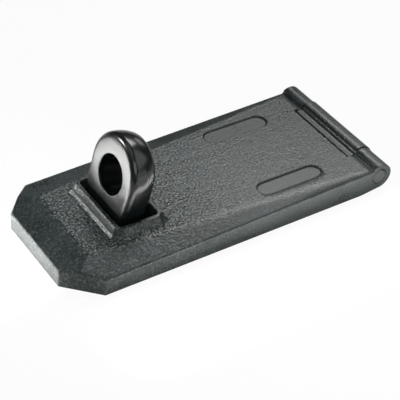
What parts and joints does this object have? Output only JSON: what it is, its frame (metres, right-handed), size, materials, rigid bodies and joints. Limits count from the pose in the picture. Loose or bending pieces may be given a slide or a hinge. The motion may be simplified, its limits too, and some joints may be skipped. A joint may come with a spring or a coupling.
{
  "type": "hasp",
  "caption": "Heavy cast hasp: a bevelled cover leaf hinged on a concealed plate closes over a staple eye that takes a padlock.",
  "frame": {"origin": "on the mounting surface, under the middle of the closed hasp", "axes": "+X along the hasp from the staple end to the hinge, +Y across it along the hinge pin, +Z away from the mounting surface"},
  "size_m": [0.18, 0.0766, 0.0522],
  "materials": {
    "cast_paint": "black paint over a rough cast skin, satin",
    "pin_paint": "black paint over steel, satin",
    "plate_paint": "black paint over steel plate, satin",
    "eye_gloss": "smooth gloss black over hardened steel"
  },
  "bodies": {
    "fixed_plates": {"hinge_leaf": "cast_paint", "hinge_pin": "pin_paint", "staple_plate": "plate_paint", "staple_eye": "eye_gloss"},
    "leaf": {"hasp_leaf": "cast_paint"}
  },
  "joints": [
    {"name": "leaf_hinge", "type": "hinge", "parent": "fixed_plates", "child": "leaf", "pos_m": [0.0825, 0, 0.0082], "axis": [0, 1, 0], "range_deg": [0, 178]}
  ]
}
